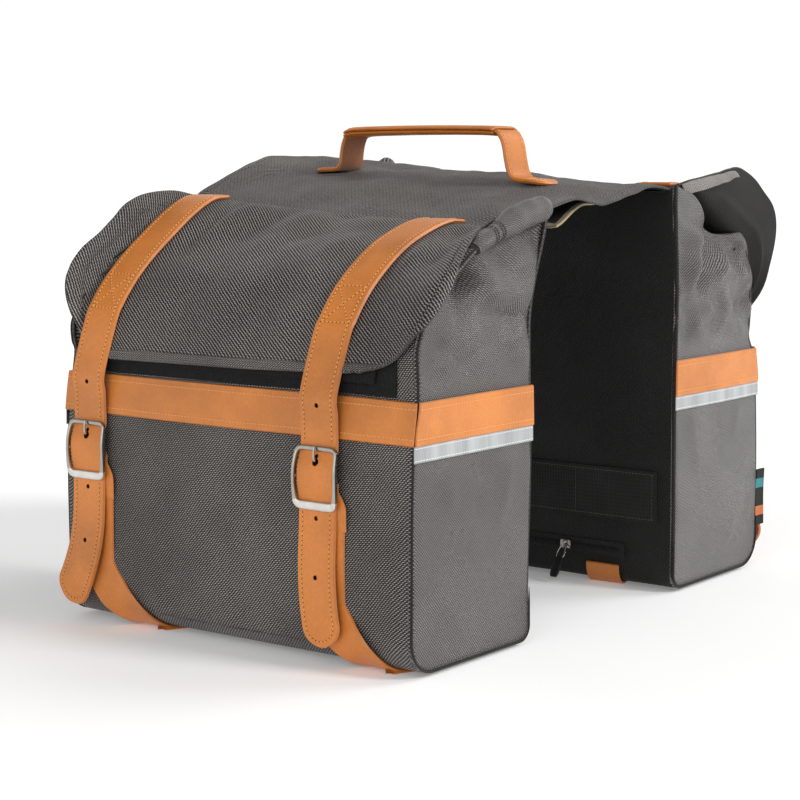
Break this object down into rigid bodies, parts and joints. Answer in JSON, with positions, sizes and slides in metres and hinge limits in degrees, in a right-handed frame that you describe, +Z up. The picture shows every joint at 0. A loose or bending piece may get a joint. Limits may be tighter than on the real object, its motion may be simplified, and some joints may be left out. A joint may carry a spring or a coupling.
{
  "type": "double bicycle pannier",
  "caption": "Double bicycle pannier: two flap-top saddle bags with leather straps and buckles, joined over the rack by a fabric bridge with a carrying handle.",
  "frame": {"origin": "on the floor under the middle of the bridge, midway between the two bags", "axes": "+X forward along the bicycle, +Y to its left across the rack, +Z up"},
  "size_m": [0.337, 0.516, 0.376],
  "materials": {
    "fabric": "coarse ballistic weave, matt",
    "webbing": "black webbing and zip tape",
    "hook_loop": "fuzzy hook-and-loop tape",
    "leather": "smooth tan leather, satin",
    "reflective": "silver reflective tape",
    "nickel": "polished nickel plate",
    "board": "stiffening board"
  },
  "bodies": {
    "bridge": {"bridge_panel": "fabric", "bridge_pad": "webbing"},
    "handle": {"handle_strap": "leather", "handle_grip": "leather"},
    "right_bag": {"right_front_panel": "fabric", "right_back_panel": "fabric", "right_base_panel": "fabric", "right_end_panel_1": "fabric", "right_end_panel_2": "fabric", "right_back_board": "board", "right_base_board": "board", "right_front_band": "leather", "right_end_band_1": "leather", "right_end_band_2": "leather", "right_reflector_1": "reflective", "right_reflector_2": "reflective", "right_loop_tape": "hook_loop", "right_zip_tape": "webbing", "right_inner_band": "webbing", "right_base_strap_1": "leather", "right_base_strap_2": "leather"},
    "right_flap": {"right_flap": "fabric", "right_hook_tape": "hook_loop", "right_flap_strap_1": "leather", "right_flap_strap_2": "leather"},
    "right_buckle_1": {"right_buckle_frame_1": "nickel"},
    "right_pin_1": {"right_buckle_pin_1": "nickel"},
    "right_buckle_2": {"right_buckle_frame_2": "nickel"},
    "right_pin_2": {"right_buckle_pin_2": "nickel"},
    "right_zip_slider": {"right_zip_slider": "nickel"},
    "right_zip_pull": {"right_zip_pull": "nickel"},
    "left_bag": {"left_front_panel": "fabric", "left_back_panel": "fabric", "left_base_panel": "fabric", "left_end_panel_1": "fabric", "left_end_panel_2": "fabric", "left_back_board": "board", "left_base_board": "board", "left_front_band": "leather", "left_end_band_1": "leather", "left_end_band_2": "leather", "left_reflector_1": "reflective", "left_reflector_2": "reflective", "left_loop_tape": "hook_loop", "left_zip_tape": "webbing", "left_inner_band": "webbing", "left_base_strap_1": "leather", "left_base_strap_2": "leather", "left_side_tag": "webbing"},
    "left_flap": {"left_flap": "fabric", "left_hook_tape": "hook_loop", "left_flap_strap_1": "leather", "left_flap_strap_2": "leather"},
    "left_buckle_1": {"left_buckle_frame_1": "nickel"},
    "left_pin_1": {"left_buckle_pin_1": "nickel"},
    "left_buckle_2": {"left_buckle_frame_2": "nickel"},
    "left_pin_2": {"left_buckle_pin_2": "nickel"},
    "left_zip_slider": {"left_zip_slider": "nickel"},
    "left_zip_pull": {"left_zip_pull": "nickel"}
  },
  "joints": [
    {"name": "right_bag_swing", "type": "hinge", "parent": "bridge", "child": "right_bag", "pos_m": [0, -0.104, 0.32], "axis": [1, 0, 0], "range_deg": [-85, 0]},
    {"name": "right_flap_hinge", "type": "hinge", "parent": "right_bag", "child": "right_flap", "pos_m": [0, -0.104, 0.3195], "axis": [-1, 0, 0], "range_deg": [0, 110], "deforming": ["right_flap_strap_1", "right_flap_strap_2"]},
    {"name": "right_buckle_tilt_1", "type": "hinge", "parent": "right_bag", "child": "right_buckle_1", "pos_m": [-0.135, -0.2498, 0.134], "axis": [1, 0, 0], "range_deg": [-6, 6]},
    {"name": "right_pin_swing_1", "type": "hinge", "parent": "right_buckle_1", "child": "right_pin_1", "pos_m": [-0.135, -0.2498, 0.134], "axis": [1, 0, 0], "range_deg": [0, 105]},
    {"name": "right_buckle_tilt_2", "type": "hinge", "parent": "right_bag", "child": "right_buckle_2", "pos_m": [0.088, -0.2498, 0.134], "axis": [1, 0, 0], "range_deg": [-6, 6]},
    {"name": "right_pin_swing_2", "type": "hinge", "parent": "right_buckle_2", "child": "right_pin_2", "pos_m": [0.088, -0.2498, 0.134], "axis": [1, 0, 0], "range_deg": [0, 105]},
    {"name": "right_zip_travel", "type": "slide", "parent": "right_bag", "child": "right_zip_slider", "axis": [1, 0, 0], "range_m": [-0.048, 0.178]},
    {"name": "right_zip_pull_swing", "type": "hinge", "parent": "right_zip_slider", "child": "right_zip_pull", "pos_m": [-0.065, -0.0984, 0.03], "axis": [1, 0, 0], "range_deg": [-30, 60]},
    {"name": "left_bag_swing", "type": "hinge", "parent": "bridge", "child": "left_bag", "pos_m": [0, 0.104, 0.32], "axis": [-1, 0, 0], "range_deg": [-85, 0]},
    {"name": "left_flap_hinge", "type": "hinge", "parent": "left_bag", "child": "left_flap", "pos_m": [0, 0.104, 0.3195], "axis": [1, 0, 0], "range_deg": [0, 110], "deforming": ["left_flap_strap_1", "left_flap_strap_2"]},
    {"name": "left_buckle_tilt_1", "type": "hinge", "parent": "left_bag", "child": "left_buckle_1", "pos_m": [0.135, 0.2498, 0.134], "axis": [-1, 0, 0], "range_deg": [-6, 6]},
    {"name": "left_pin_swing_1", "type": "hinge", "parent": "left_buckle_1", "child": "left_pin_1", "pos_m": [0.135, 0.2498, 0.134], "axis": [-1, 0, 0], "range_deg": [0, 105]},
    {"name": "left_buckle_tilt_2", "type": "hinge", "parent": "left_bag", "child": "left_buckle_2", "pos_m": [-0.088, 0.2498, 0.134], "axis": [-1, 0, 0], "range_deg": [-6, 6]},
    {"name": "left_pin_swing_2", "type": "hinge", "parent": "left_buckle_2", "child": "left_pin_2", "pos_m": [-0.088, 0.2498, 0.134], "axis": [-1, 0, 0], "range_deg": [0, 105]},
    {"name": "left_zip_travel", "type": "slide", "parent": "left_bag", "child": "left_zip_slider", "axis": [-1, 0, 0], "range_m": [-0.048, 0.178]},
    {"name": "left_zip_pull_swing", "type": "hinge", "parent": "left_zip_slider", "child": "left_zip_pull", "pos_m": [0.065, 0.0984, 0.03], "axis": [-1, 0, 0], "range_deg": [-30, 60]},
    {"name": "handle_fold", "type": "hinge", "parent": "bridge", "child": "handle", "pos_m": [0, 0, 0.334], "axis": [1, 0, 0], "range_deg": [-40, 40], "stiffness_Nm_per_rad": 0.15, "deforming": ["handle_strap"]}
  ]
}
